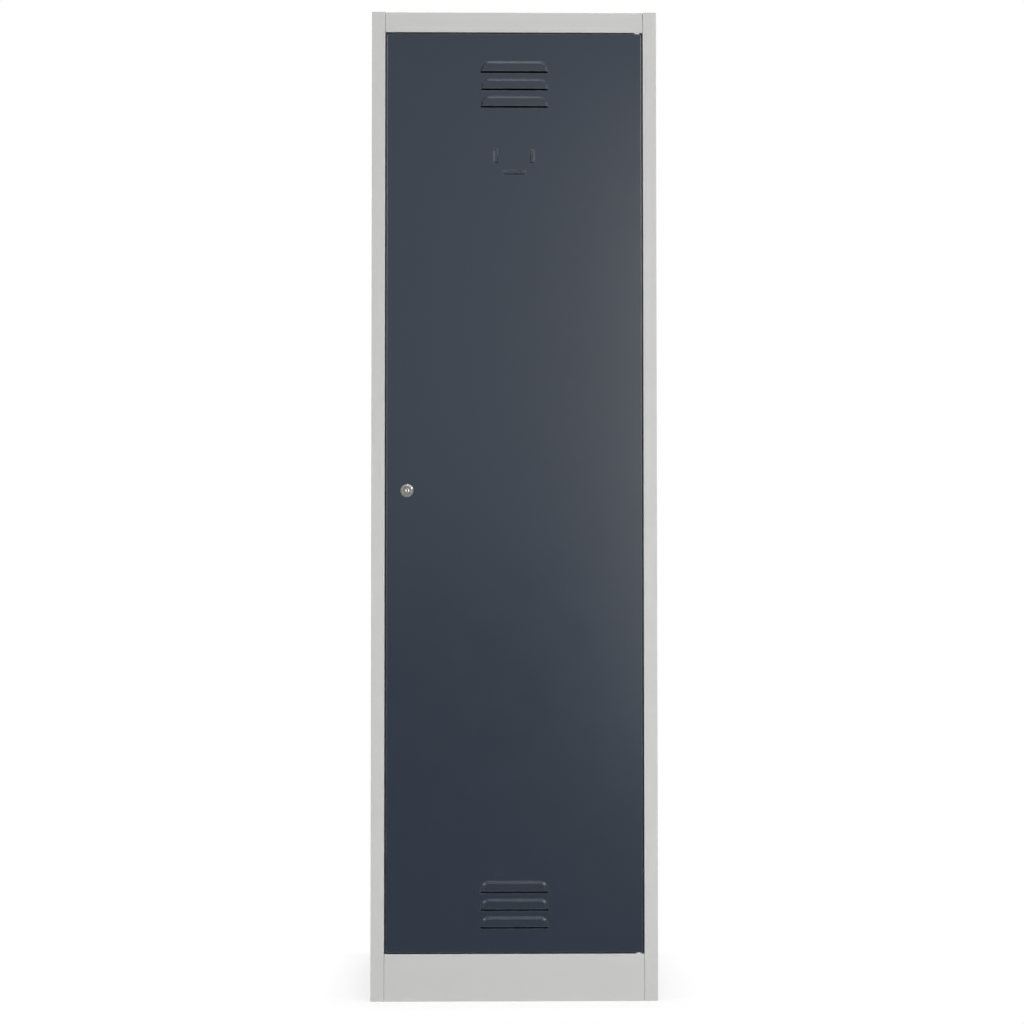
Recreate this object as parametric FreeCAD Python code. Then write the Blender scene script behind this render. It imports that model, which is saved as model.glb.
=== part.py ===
"""Single-door steel storage cabinet, built as folded sheet metal.

A welded carcass of side panels, top, base and back carries four shelves on clips, and a louvred
door that swings on two pivot pins and is held by a cam lock.
Millimetres. +X is the viewer's right, -Y is the front and +Z is up. The origin is on the floor,
at the centre of the carcass.
"""

import FreeCAD, Part
import math
import os

Vector = FreeCAD.Vector

# Overall sizes of the carcass
cabinet_width = 520.0
cabinet_depth = 500.0
cabinet_height = 1800.0

# Sheet metal. A fold is sharp inside, and rounded outside by the thickness of its sheet
sheet = 0.8
door_sheet = 1.0
corner_relief = 2.0
fold_root = 6.0

# Clearances
fit = 0.3
running_fit = 0.05
seam = 0.6

# Door frame: the fronts that surround the door, and the stop that it closes on
post_width = 24.4
header_height = 37.2
plinth_height = 85.0
stop_lip = 14.0
floor_step = 12.0
rear_flange = 20.0
deck_flange = 20.0
foot_flange = 20.0

# Door tray and the gaps around it
door_depth = 18.0
door_lip = 14.0
lock_side_gap = 2.8
hinge_side_gap = 2.6
lower_gap = 2.0
lift_play = 0.3

# Pressed vents: two groups of hoods, each with a slot along its lower edge
louvre_count = 3
louvre_pitch = 32.0
louvre_slit = 125.0
louvre_slot = 3.0
louvre_crown = 116.0
louvre_height = 18.8
louvre_corner = 14.0
louvre_projection = 2.9
louvre_slope = 4.3
louvre_round = 2.4
upper_louvre_drop = 69.6
lower_louvre_rise = 46.9

# Name-card holder: three small tabs pressed out of the door, open towards the card
card_width = 60.6
card_drop = 252.0
tab_rise = 26.0
side_tab_length = 28.0
lower_tab_length = 43.0
tab_slot = 0.8
tab_height = 8.0
tab_taper = 4.0
tab_corner = 3.0
tab_projection = 2.0
tab_slope = 3.0
slot_inset = 1.0

# Door stiffener, a hat section between the vents and the card holder
stiffener_crown = 40.0
stiffener_depth = 14.0
stiffener_flange = 15.0
stiffener_margin = 55.0

# Pivot hinges
pivot_inset = 8.0
pivot_setback = 6.6
pin_radius = 3.0
pin_head_radius = 5.0
pin_head = 2.5
pin_reach = 16.0
pin_chamfer = 1.0
bush_wall = 1.5
bush_flange_radius = 6.0
hinge_plate = 3.0
hinge_plate_length = 38.0
hinge_plate_overhang = 5.5

# Cam lock
lock_setback = 37.8
lock_height = 923.0
lock_head_radius = 12.0
lock_head = 3.2
lock_rim = 0.6
lock_crest_radius = 8.6
lock_recess = 1.6
lock_barrel_radius = 9.2
lock_flats = 16.4
lock_bore_radius = 6.1
lock_nut_flats = 23.0
lock_nut = 6.0
cam_sheet = 2.5
cam_reach = 36.0
cam_hub_width = 17.0
cam_hub_round = 6.5
cam_tip_width = 13.0
cam_tip_round = 3.0
cam_clearance = 0.8
tail_square = 7.0
keyway_width = 1.8
keyway_height = 8.4
keyway_depth = 14.0
screw_radius = 2.5
screw_length = 8.0
screw_head_flats = 9.0
screw_head = 3.5

# Rubber buffers on the door stop
buffer_thickness = 3.0
buffer_radius = 4.5
buffer_inset = 8.5

# Shelf rails, clips and shelves
rail_sheet = 1.0
rail_depth = 9.0
rail_crown = 20.0
rail_flange = 8.0
rail_setback = 54.0
rail_end_gap = 30.0
slot_pitch = 80.0
slot_width = 13.0
slot_height = 3.2
clip_sheet = 1.5
clip_width = 12.0
clip_hook = 10.0
clip_reach = 16.0
clip_play = 0.1
shelf_count = 4
shelf_flange = 25.0
shelf_hem = 12.0
shelf_play = 1.0
shelf_setback = 25.0
shelf_rear_gap = 6.0

# Wall fixing holes in the back panel
wall_hole_radius = 4.5
wall_hole_spacing = 340.0
wall_hole_drop = 90.0

# Faces and planes that pieces share
left = -cabinet_width / 2
right = cabinet_width / 2
front = -cabinet_depth / 2
back = cabinet_depth / 2
top = cabinet_height
wall = left + sheet
back_face = back - 2 * sheet
opening_left = left + post_width
opening_right = right - post_width
opening_top = top - header_height
opening_bottom = plinth_height
floor_top = plinth_height + floor_step
door_back = front + door_depth
stop_plane = door_back + buffer_thickness
deck_front = stop_plane + sheet + fit
door_left = opening_left + lock_side_gap
door_right = opening_right - hinge_side_gap
door_bottom = opening_bottom + lower_gap
door_top = opening_top - lower_gap - lift_play
door_middle = (door_left + door_right) / 2
pivot_x = door_right - pivot_inset
pivot_y = front + pivot_setback
lock_x = door_left + lock_setback
barrel_end = stop_plane - front + sheet
cam_front = barrel_end + cam_clearance
cam_back = cam_front + cam_sheet
rail_face = wall + rail_depth
rail_bottom = floor_top + rail_end_gap
rail_top = opening_top - rail_end_gap
slot_count = int((rail_top - rail_bottom) // slot_pitch)

AXES = {"x": Vector(1, 0, 0), "y": Vector(0, 1, 0), "z": Vector(0, 0, 1)}
ORIGIN = Vector(0, 0, 0)


def placed(axis, level, point):
    """A 2-D point on the plane across an axis: (y, z) across x, (x, z) across y, (x, y) across z."""
    if axis == "x":
        return Vector(level, point.x, point.y)
    if axis == "y":
        return Vector(point.x, level, point.y)
    return Vector(point.x, point.y, level)


def outline(corners, axis, level):
    """Closed wire through (a, b, radius) corners, each rounded by its own radius."""
    points = [Vector(a, b, 0) for a, b, _ in corners]
    entries, exits, edges = [], [], []
    for i, (_, _, radius) in enumerate(corners):
        heading_in = (points[i] - points[i - 1]).normalize()
        heading_out = (points[(i + 1) % len(points)] - points[i]).normalize()
        half_turn = heading_in.getAngle(heading_out) / 2
        reach = radius * math.tan(half_turn)
        entries.append(points[i] - heading_in * reach)
        exits.append(points[i] + heading_out * reach)
        if radius > 0:
            inward = (heading_out - heading_in).normalize()
            middle = points[i] + inward * (radius / math.cos(half_turn) - radius)
            arc = [placed(axis, level, p) for p in (entries[i], middle, exits[i])]
            edges.append(Part.Arc(*arc).toShape())
    for i, end in enumerate(exits):
        following = entries[(i + 1) % len(entries)]
        if end.distanceToPoint(following) > 1e-6:
            line = Part.LineSegment(placed(axis, level, end), placed(axis, level, following))
            edges.append(line.toShape())
    return Part.Wire(Part.__sortEdges__(edges))


def prism(corners, axis, start, end):
    """Solid with a rounded outline, from one level to another along an axis."""
    return Part.Face(outline(corners, axis, start)).extrude(AXES[axis] * (end - start))


def folded(path, thickness, axis, start, end, rounded=True):
    """Sheet bent along a path of (a, b) points. The path is one face, and the sheet is on its left.

    Small pressed pieces are left sharp outside too.
    """
    outside = thickness if rounded else 0
    points = [Vector(a, b, 0) for a, b in path]
    headings = [(q - p).normalize() for p, q in zip(points, points[1:])]
    normals = [Vector(-h.y, h.x, 0) for h in headings]
    near = [(points[0].x, points[0].y, 0)]
    far = [points[0] + normals[0] * thickness]
    far_radii = [0]
    for i in range(1, len(points) - 1):
        turns_left = headings[i - 1].cross(headings[i]).z > 0
        mitre = normals[i - 1] + normals[i]
        far.append(points[i] + mitre * (thickness / (1 + normals[i - 1].dot(normals[i]))))
        far_radii.append(0 if turns_left else outside)
        near.append((points[i].x, points[i].y, outside if turns_left else 0))
    near.append((points[-1].x, points[-1].y, 0))
    far.append(points[-1] + normals[-1] * thickness)
    far_radii.append(0)
    other_face = [(p.x, p.y, r) for p, r in zip(far, far_radii)]
    return prism(near + other_face[::-1], axis, start, end)


def block(x_range, y_range, z_range):
    """Box between two levels on each axis."""
    sizes = [b - a for a, b in (x_range, y_range, z_range)]
    return Part.makeBox(*sizes, Vector(x_range[0], y_range[0], z_range[0]))


def turned(profile, axis_point, axis):
    """Solid of revolution of a closed (radius, height) polygon about an axis through a point."""
    face = Part.Face(Part.makePolygon([Vector(r, 0, h) for r, h in profile + profile[:1]]))
    solid = face.revolve(ORIGIN, AXES["z"], 360)
    solid.Placement = FreeCAD.Placement(axis_point, FreeCAD.Rotation(AXES["z"], AXES[axis]))
    return solid


def hexagon(across_flats):
    """Corners of a hexagon about the origin, for prism()."""
    radius = across_flats / math.sqrt(3)
    angles = [math.radians(60 * i) for i in range(6)]
    return [(radius * math.cos(a), radius * math.sin(a), 0) for a in angles]


def joined(*solids):
    """One welded or folded piece, without the seams between its spans."""
    return solids[0].fuse(list(solids[1:])).removeSplitter()


def mirrored(shape):
    """The same piece for the other side of the cabinet."""
    return shape.mirror(ORIGIN, AXES["x"])


def side_panel():
    """Left wall with its front post and door stop, rear flange, and flanges at the top and the floor."""
    section = [
        (left + rear_flange, back),
        (left, back),
        (left, front),
        (opening_left, front),
        (opening_left, stop_plane),
        (opening_left + stop_lip, stop_plane),
    ]
    panel = folded(section, sheet, "z", 0, top)
    lip_span = (opening_left - 2 * sheet, opening_left + stop_lip + fit)
    lip_depth = (stop_plane, stop_plane + 2 * sheet)
    upper_cut = block(lip_span, lip_depth, (opening_top - stop_lip - fit, top + fit))
    lower_cut = block(lip_span, lip_depth, (-fit, floor_top + fit))
    flange_span = (front + corner_relief, back - corner_relief)
    edge = (left - fit, wall + fit)
    upper_window = block(edge, flange_span, (top - fold_root, top + fit))
    lower_window = block(edge, flange_span, (-fit, fold_root))
    panel = panel.cut([upper_cut, lower_cut, upper_window, lower_window])
    top_path = [(opening_left, top), (left, top), (left, top - fold_root)]
    foot_path = [(left, fold_root), (left, 0), (opening_left, 0)]
    top_flange = folded(top_path, sheet, "y", *flange_span)
    foot = folded(foot_path, sheet, "y", deck_front, flange_span[1])
    front_foot = folded([(left, fold_root), (left, 0)], sheet, "y", flange_span[0], deck_front)
    return joined(panel, top_flange, foot, front_foot)


def front_notches(z_range):
    """The two front corners that a deck leaves free for the posts."""
    depth = (front - fit, deck_front)
    return [
        block((left - fit, opening_left + seam), depth, z_range),
        block((opening_right - seam, right + fit), depth, z_range),
    ]


def pin_hole(level):
    """Hole for a hinge pin, through the ledge at that level."""
    radius = pin_radius + running_fit
    return Part.makeCylinder(radius, 4 * sheet, Vector(pivot_x, pivot_y, level - 2 * sheet))


def top_panel():
    """Deck with a rear flange, and the header folded down over the door with its ledge and stop lip."""
    deck = top - sheet
    path = [
        (back_face, deck - deck_flange),
        (back_face, deck),
        (front, deck),
        (front, opening_top),
        (stop_plane, opening_top),
        (stop_plane, opening_top - stop_lip),
    ]
    edge = wall + fit
    panel = folded(path, sheet, "x", edge, -edge)
    notches = front_notches((opening_top - 2 * stop_lip, top))
    return panel.cut(notches + [pin_hole(opening_top)])


def base_panel():
    """Floor deck with flanges, stepped down in front to the ledge under the door and the plinth."""
    tail = 2 * deck_flange
    front_path = [
        (stop_plane + tail, floor_top),
        (stop_plane, floor_top),
        (stop_plane, plinth_height),
        (front, plinth_height),
        (front, 0),
        (front + foot_flange, 0),
    ]
    deck_path = [
        (-wall, floor_top - deck_flange),
        (-wall, floor_top),
        (wall, floor_top),
        (wall, floor_top - deck_flange),
    ]
    rear_path = [
        (back_face, floor_top - deck_flange),
        (back_face, floor_top),
        (back_face - tail, floor_top),
    ]
    front_rail = folded(front_path, sheet, "x", opening_left + seam, opening_right - seam)
    deck = folded(deck_path, sheet, "y", deck_front, back_face - corner_relief, rounded=False)
    rear = folded(rear_path, sheet, "x", wall + corner_relief, -wall - corner_relief, rounded=False)
    return joined(front_rail, deck, rear).cut(pin_hole(opening_bottom))


def back_panel():
    """Flat sheet on the rear flanges, with two holes for fixing the cabinet to a wall."""
    edge = wall + fit
    panel = block((edge, -edge), (back_face, back - sheet), (0, top - sheet))
    hole_z = top - wall_hole_drop
    places = [Vector(side * wall_hole_spacing / 2, back_face - sheet, hole_z) for side in (-1, 1)]
    holes = [Part.makeCylinder(wall_hole_radius, 3 * sheet, p, AXES["y"]) for p in places]
    return panel.cut(holes)


def rail_middle(row):
    """Depth at which the front or the rear shelf rails stand."""
    return stop_plane + rail_setback if row == "front" else back_face - rail_setback


def slot_level(index):
    """Height of the lower edge of a rail slot, counted from the bottom."""
    return rail_bottom + (index + 0.5) * slot_pitch


def shelf_slot(number):
    """Index of the slot that carries a shelf, with the shelves numbered from 1 in equal steps."""
    return number * (slot_count // (shelf_count + 1)) - 1


def shelf_rail(row):
    """Slotted hat section on the left wall."""
    middle = rail_middle(row)
    root = wall + rail_sheet
    crown = rail_crown / 2
    path = [
        (root, middle - crown - rail_flange),
        (root, middle - crown),
        (rail_face, middle - crown),
        (rail_face, middle + crown),
        (root, middle + crown),
        (root, middle + crown + rail_flange),
    ]
    rail = folded(path, rail_sheet, "z", rail_bottom, rail_top, rounded=False)
    across = (rail_face - 2 * rail_sheet, rail_face + rail_sheet)
    along = (middle - slot_width / 2, middle + slot_width / 2)
    levels = [slot_level(i) for i in range(slot_count)]
    return rail.cut([block(across, along, (z, z + slot_height)) for z in levels])


def shelf_clips(number):
    """Four bent hooks that hang in the rail slots under one shelf."""
    seat = slot_level(shelf_slot(number)) + clip_sheet
    hook_face = rail_face - rail_sheet - clip_play
    path = [(rail_face + clip_reach, seat), (hook_face, seat), (hook_face, seat + clip_hook)]
    clips = []
    for row in ("front", "rear"):
        edge = rail_middle(row) - clip_width / 2
        clip = folded(path, clip_sheet, "y", edge, edge + clip_width, rounded=False)
        clips += [clip, mirrored(clip)]
    return Part.makeCompound(clips)


def shelf(number):
    """Tray that lies on four clips: flanges all round, with a hem under the front edge."""
    lower = slot_level(shelf_slot(number)) + clip_sheet
    upper = lower + shelf_flange
    shelf_front = stop_plane + sheet + shelf_setback
    shelf_rear = back_face - shelf_rear_gap
    edge = rail_face + shelf_play
    long_path = [
        (shelf_rear, lower),
        (shelf_rear, upper),
        (shelf_front, upper),
        (shelf_front, lower),
        (shelf_front + shelf_hem, lower),
    ]
    side_path = [(-edge, lower), (-edge, upper), (edge, upper), (edge, lower)]
    long_flanges = folded(long_path, sheet, "x", edge + corner_relief, -edge - corner_relief)
    ends = (shelf_front + corner_relief, shelf_rear - corner_relief)
    return joined(long_flanges, folded(side_path, sheet, "y", *ends, rounded=False))


def hood_outline(form, inset, level):
    """Outline of a pressed hood at a level: a trapezium on its slit, drawn in on the other sides."""
    lean = (form["slit"] - form["crown"]) / 2
    side = math.hypot(lean, form["height"])
    height = form["height"] - inset
    foot = form["slit"] / 2 - inset * side / form["height"]
    head = foot - lean * height / form["height"]
    radius = max(form["corner"] - inset, form["corner"] / 4)
    corners = [(-foot, 0, 0), (-head, height, radius), (head, height, radius), (foot, 0, 0)]
    return outline(corners, "y", -level)


def pressed_hood(form, angle, x, z):
    """Outer body, hollow and slot of a hood with its lip at (x, z), turned about the door's normal."""
    rise = form["projection"]
    lean = form["slope"] / rise
    wall_shift = door_sheet * math.hypot(1, lean)
    root = -door_sheet / 2
    outer = Part.makeLoft(
        [hood_outline(form, lean * level, level) for level in (root, rise)], True, True
    )
    if form["round"] > 0:
        crown = [f for f in outer.Faces if abs(f.CenterOfMass.y + rise) < 1e-6][0]
        rim = [e for e in crown.Edges if e.CenterOfMass.z > 1e-6]
        outer = outer.makeFillet(form["round"], rim)
    hollow_levels = (-2 * door_sheet, rise - door_sheet)
    hollow = Part.makeLoft(
        [hood_outline(form, lean * level + wall_shift, level) for level in hollow_levels], True, True
    )
    reach = form["slit"] / 2 - slot_inset
    slot = block((-reach, reach), (-door_sheet, 2 * door_sheet), (-form["slot"], 0))
    for body in (outer, hollow, slot):
        body.rotate(ORIGIN, AXES["y"], angle)
        body.translate(Vector(x, front, z))
    return outer, hollow, slot


def door_pressings():
    """Every louvre and card tab of the door, as its outer body, hollow and slot."""
    louvre = {
        "slit": louvre_slit,
        "slot": louvre_slot,
        "crown": louvre_crown,
        "height": louvre_height,
        "corner": louvre_corner,
        "projection": louvre_projection,
        "slope": louvre_slope,
        "round": louvre_round,
    }
    side_tab = {
        "slit": side_tab_length,
        "slot": tab_slot,
        "crown": side_tab_length - tab_taper,
        "height": tab_height,
        "corner": tab_corner,
        "projection": tab_projection,
        "slope": tab_slope,
        "round": 0,
    }
    lower_tab = dict(side_tab, slit=lower_tab_length, crown=lower_tab_length - tab_taper)
    card_z = door_top - card_drop
    pressings = []
    for i in range(louvre_count):
        upper_z = door_top - upper_louvre_drop - i * louvre_pitch
        lower_z = door_bottom + lower_louvre_rise + i * louvre_pitch
        pressings.append(pressed_hood(louvre, 0, door_middle, upper_z))
        pressings.append(pressed_hood(louvre, 0, door_middle, lower_z))
    for side in (-1, 1):
        x = door_middle + side * card_width / 2
        pressings.append(pressed_hood(side_tab, side * 90, x, card_z + tab_rise))
    pressings.append(pressed_hood(lower_tab, 180, door_middle, card_z))
    return pressings


def flatted_barrel(radius, flats, start, end):
    """Round bar along the lock's axis with two flats, between two depths behind the door's face."""
    bar = Part.makeCylinder(radius, end - start, Vector(lock_x, front + start, lock_height), AXES["y"])
    span = (lock_height - flats / 2, lock_height + flats / 2)
    return bar.common(block((lock_x - radius, lock_x + radius), (front + start, front + end), span))


def door_panel():
    """Tray folded from one sheet, with vents, card tabs, the lock hole and the hinge bush holes."""
    side_path = [
        (door_left + door_lip, door_back),
        (door_left, door_back),
        (door_left, front),
        (door_right, front),
        (door_right, door_back),
        (door_right - door_lip, door_back),
    ]
    end_path = [
        (door_back, door_top - door_lip),
        (door_back, door_top),
        (front, door_top),
        (front, door_bottom),
        (door_back, door_bottom),
        (door_back, door_bottom + door_lip),
    ]
    height = (door_bottom + corner_relief, door_top - corner_relief)
    width = (door_left + corner_relief, door_right - corner_relief)
    tray = joined(
        folded(side_path, door_sheet, "z", *height), folded(end_path, door_sheet, "x", *width)
    )
    pressings = door_pressings()
    tray = tray.fuse([outer for outer, _, _ in pressings])
    tray = tray.cut([space for _, hollow, slot in pressings for space in (hollow, slot)])
    hole_radius = lock_barrel_radius + running_fit
    lock_hole = flatted_barrel(hole_radius, lock_flats + 2 * running_fit, -door_sheet, 2 * door_sheet)
    bush_radius = pin_radius + running_fit + bush_wall + running_fit
    bush_hole = Part.makeCylinder(
        bush_radius, door_top - door_bottom + 2 * fit, Vector(pivot_x, pivot_y, door_bottom - fit)
    )
    return tray.cut([lock_hole, bush_hole]).removeSplitter()


def door_stiffener():
    """Hat section on the inside of the door, between the lower vents and the card holder."""
    seat = front + door_sheet
    crown = stiffener_crown / 2
    flange = seat + door_sheet
    path = [
        (door_middle + crown + stiffener_flange, flange),
        (door_middle + crown, flange),
        (door_middle + crown, seat + stiffener_depth),
        (door_middle - crown, seat + stiffener_depth),
        (door_middle - crown, flange),
        (door_middle - crown - stiffener_flange, flange),
    ]
    vents_top = door_bottom + lower_louvre_rise + (louvre_count - 1) * louvre_pitch + louvre_height
    lower = vents_top + stiffener_margin
    upper = door_top - card_drop - tab_height - stiffener_margin
    return folded(path, door_sheet, "z", lower, upper, rounded=False)


def at_both_pivots(shape, lower_level, upper_level):
    """A hinge piece set upright at the foot of the door, and upside down at its head."""
    lower = shape.translated(Vector(pivot_x, pivot_y, lower_level))
    turned_over = shape.rotated(ORIGIN, AXES["x"], 180)
    upper = turned_over.translated(Vector(pivot_x, pivot_y, upper_level))
    return Part.makeCompound([lower, upper])


def hinge_plates():
    """Doubling plates inside the door's end flanges, bored for the hinge bushes."""
    edge = door_sheet + fit
    outline_x = (pivot_x + hinge_plate_overhang - hinge_plate_length, pivot_x + hinge_plate_overhang)
    outline_y = (front + edge, door_back - edge)
    radius = pin_radius + running_fit + bush_wall + running_fit
    plates = []
    for level in (door_bottom + door_sheet, door_top - door_sheet - hinge_plate):
        plate = block(outline_x, outline_y, (level, level + hinge_plate))
        plates.append(plate.cut(Part.makeCylinder(radius, hinge_plate, Vector(pivot_x, pivot_y, level))))
    return Part.makeCompound(plates)


def hinge_bushes():
    """Flanged nylon bushes. The lower flange carries the door, and the upper one has lift play."""
    bore = pin_radius + running_fit
    barrel = bore + bush_wall
    barrel_end = lower_gap + door_sheet + hinge_plate
    profile = [
        (bore, 0),
        (bush_flange_radius, 0),
        (bush_flange_radius, lower_gap),
        (barrel, lower_gap),
        (barrel, barrel_end),
        (bore, barrel_end),
    ]
    return at_both_pivots(turned(profile, ORIGIN, "z"), opening_bottom, door_top + lower_gap)


def hinge_pins():
    """Headed pins through the ledges under and over the door."""
    end = sheet + pin_reach
    profile = [
        (0, -pin_head),
        (pin_head_radius, -pin_head),
        (pin_head_radius, 0),
        (pin_radius, 0),
        (pin_radius, end - pin_chamfer),
        (pin_radius - pin_chamfer, end),
        (0, end),
    ]
    return at_both_pivots(turned(profile, ORIGIN, "z"), opening_bottom - sheet, opening_top + sheet)


def lock_axis_point(depth):
    """Point on the lock's axis, at a depth behind the door's face."""
    return Vector(lock_x, front + depth, lock_height)


def lock_housing():
    """Round head with a coned rim, and a flatted barrel through the door."""
    profile = [
        (lock_bore_radius, -lock_head),
        (lock_crest_radius, -lock_head),
        (lock_head_radius, -lock_rim),
        (lock_head_radius, 0),
        (lock_bore_radius, 0),
    ]
    head = turned(profile, lock_axis_point(0), "y")
    barrel = flatted_barrel(lock_barrel_radius, lock_flats, 0, barrel_end)
    bore = Part.makeCylinder(lock_bore_radius, barrel_end, lock_axis_point(0), AXES["y"])
    return joined(head, barrel.cut(bore))


def lock_ring_nut():
    """Hexagon nut that draws the lock's head on to the door."""
    nut = prism(hexagon(lock_nut_flats), "y", 0, lock_nut)
    hole = Part.makeCylinder(lock_barrel_radius + running_fit, lock_nut, ORIGIN, AXES["y"])
    return nut.cut(hole).translated(lock_axis_point(door_sheet))


def lock_plug():
    """Turning core with its keyway, and a square tail that carries the cam."""
    radius = lock_bore_radius - running_fit
    face = lock_recess - lock_head
    body = Part.makeCylinder(radius, cam_front - face, lock_axis_point(face), AXES["y"])
    half = tail_square / 2
    tail_x = (lock_x - half, lock_x + half)
    tail = block(tail_x, (front + cam_front, front + cam_back), (lock_height - half, lock_height + half))
    slot_x = (lock_x - keyway_width / 2, lock_x + keyway_width / 2)
    slot_z = (lock_height - keyway_height / 2, lock_height + keyway_height / 2)
    keyway = block(slot_x, (front + face, front + face + keyway_depth), slot_z)
    thread = Part.makeCylinder(
        screw_radius + running_fit, screw_length + fit, lock_axis_point(cam_back), -AXES["y"]
    )
    return joined(body, tail).cut([keyway, thread])


def lock_cam():
    """Flat latch on the plug's tail. It hangs down unlocked, and turns behind the door stop to lock."""
    tip = cam_tip_width / 2
    hub = cam_hub_width / 2
    corners = [
        (-hub, hub, cam_hub_round),
        (-tip, -cam_reach, cam_tip_round),
        (tip, -cam_reach, cam_tip_round),
        (hub, hub, cam_hub_round),
    ]
    half = tail_square / 2 + running_fit
    hole = block((-half, half), (0, cam_sheet), (-half, half))
    return prism(corners, "y", 0, cam_sheet).cut(hole).translated(lock_axis_point(cam_front))


def cam_screw():
    """Hexagon screw that holds the cam on the plug."""
    head = prism(hexagon(screw_head_flats), "y", 0, screw_head)
    shank = Part.makeCylinder(screw_radius, screw_length, ORIGIN, -AXES["y"])
    return joined(head, shank).translated(lock_axis_point(cam_back))


def door_buffers():
    """Two rubber discs on the stop lip at the lock side, which the closed door rests on."""
    x = opening_left + buffer_inset
    span = opening_top - opening_bottom
    levels = [opening_bottom + share * span for share in (0.25, 0.75)]
    discs = [
        Part.makeCylinder(buffer_radius, buffer_thickness, Vector(x, door_back, z), AXES["y"])
        for z in levels
    ]
    return Part.makeCompound(discs)


def nodes():
    """Every piece of the cabinet by its name."""
    pieces = {
        "left_side_panel": side_panel(),
        "top_panel": top_panel(),
        "base_panel": base_panel(),
        "back_panel": back_panel(),
        "door_buffers": door_buffers(),
        "hinge_pins": hinge_pins(),
        "door_panel": door_panel(),
        "door_stiffener": door_stiffener(),
        "hinge_plates": hinge_plates(),
        "hinge_bushes": hinge_bushes(),
        "lock_housing": lock_housing(),
        "lock_nut": lock_ring_nut(),
        "lock_plug": lock_plug(),
        "lock_cam": lock_cam(),
        "cam_screw": cam_screw(),
    }
    pieces["right_side_panel"] = mirrored(pieces["left_side_panel"])
    for row in ("front", "rear"):
        rail = shelf_rail(row)
        pieces[f"{row}_left_shelf_rail"] = rail
        pieces[f"{row}_right_shelf_rail"] = mirrored(rail)
    for number in range(1, shelf_count + 1):
        pieces[f"shelf_{number}"] = shelf(number)
        pieces[f"shelf_{number}_clips"] = shelf_clips(number)
    return pieces


os.makedirs("parts", exist_ok=True)
for name, shape in nodes().items():
    shape.exportStep(f"parts/{name}.step")
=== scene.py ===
"""Looks of a single-door steel storage cabinet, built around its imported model.

Metres, in the model's own frame: +X is the viewer's right, -Y is the front and +Z is up.
The carcass, shelves and fittings keep the model's pieces. The pressed door sheet, the lock's housing
and face plate, the stop buffers and the weld marks are made here.
"""

import math

import bmesh
import bpy
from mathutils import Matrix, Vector


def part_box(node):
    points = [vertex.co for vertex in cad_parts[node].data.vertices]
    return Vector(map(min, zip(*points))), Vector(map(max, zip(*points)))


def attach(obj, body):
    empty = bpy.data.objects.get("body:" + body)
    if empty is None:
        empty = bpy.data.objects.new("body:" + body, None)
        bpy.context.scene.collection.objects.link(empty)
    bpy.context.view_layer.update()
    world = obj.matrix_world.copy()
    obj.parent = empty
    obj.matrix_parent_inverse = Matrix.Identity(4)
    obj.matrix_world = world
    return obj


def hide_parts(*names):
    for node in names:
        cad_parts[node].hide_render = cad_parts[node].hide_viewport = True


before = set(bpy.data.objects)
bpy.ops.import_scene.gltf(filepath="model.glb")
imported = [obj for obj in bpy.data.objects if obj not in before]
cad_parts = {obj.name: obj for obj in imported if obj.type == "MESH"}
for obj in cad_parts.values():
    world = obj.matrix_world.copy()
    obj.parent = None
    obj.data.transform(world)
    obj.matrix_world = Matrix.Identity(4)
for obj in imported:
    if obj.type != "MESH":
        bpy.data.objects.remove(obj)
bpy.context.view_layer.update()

MM = 0.001
TINY = 1e-6
JOIN_DISTANCE = 0.01 * MM

# Faces and axes read from the model
DOOR_LOW, DOOR_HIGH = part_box("door_panel")
DOOR_MIDDLE = (DOOR_LOW.x + DOOR_HIGH.x) / 2
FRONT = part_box("left_side_panel")[0].y
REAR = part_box("left_side_panel")[1].y
PIVOT = sum(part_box("hinge_pins"), Vector()) / 2
LOCK = sum(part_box("lock_plug"), Vector()) / 2
LOCK_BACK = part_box("lock_housing")[1].y
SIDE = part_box("right_side_panel")[1].x
FLOOR_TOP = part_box("base_panel")[1].z
BACK_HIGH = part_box("back_panel")[1]
STIFFENER_LOW, STIFFENER_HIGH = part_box("door_stiffener")

# Door sheet: one tray with folded edges
DOOR_SHEET = 1.0 * MM
DOOR_FOLD = 1.6 * MM
DOOR_LIP = 14 * MM
CORNER_RELIEF = 2.0 * MM
LIP_MITRE_GAP = 0.6 * MM
SHEET_EDGE = 0.2 * MM
FOLD_STEPS = 6

# Louvres and card tabs, pressed out of the door sheet
LOUVRE = {
    "slit": 125 * MM,
    "slot": 3.0 * MM,
    "crown": 116 * MM,
    "height": 18.8 * MM,
    "corner": 14 * MM,
    "projection": 2.9 * MM,
    "slope": math.atan(2.9 / 4.3),
    "foot_round": 1.2 * MM,
    "crown_round": 2.0 * MM,
}
SIDE_TAB = {
    "slit": 28 * MM,
    "slot": 0.8 * MM,
    "crown": 24 * MM,
    "height": 8 * MM,
    "corner": 3 * MM,
    "projection": 2.0 * MM,
    "slope": math.atan(2 / 3),
    "foot_round": 0.6 * MM,
    "crown_round": 0.8 * MM,
}
SLOT_INSET = 1.0 * MM
LOWER_TAB = dict(SIDE_TAB, slit=43 * MM, crown=39 * MM)
LOUVRE_PITCH = 32 * MM
LOUVRE_COUNT = 3
UPPER_LOUVRE_DROP = 69.6 * MM
LOWER_LOUVRE_RISE = 46.9 * MM
CARD_WIDTH = 60.6 * MM
CARD_DROP = 252 * MM
TAB_RISE = 26 * MM
CORNER_STEPS = 8
PROFILE_STEPS = 5

# Holes in the door sheet
LOCK_HOLE = 9.25 * MM
BUSH_HOLE = 4.6 * MM
HOLE_STEPS = 48

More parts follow.
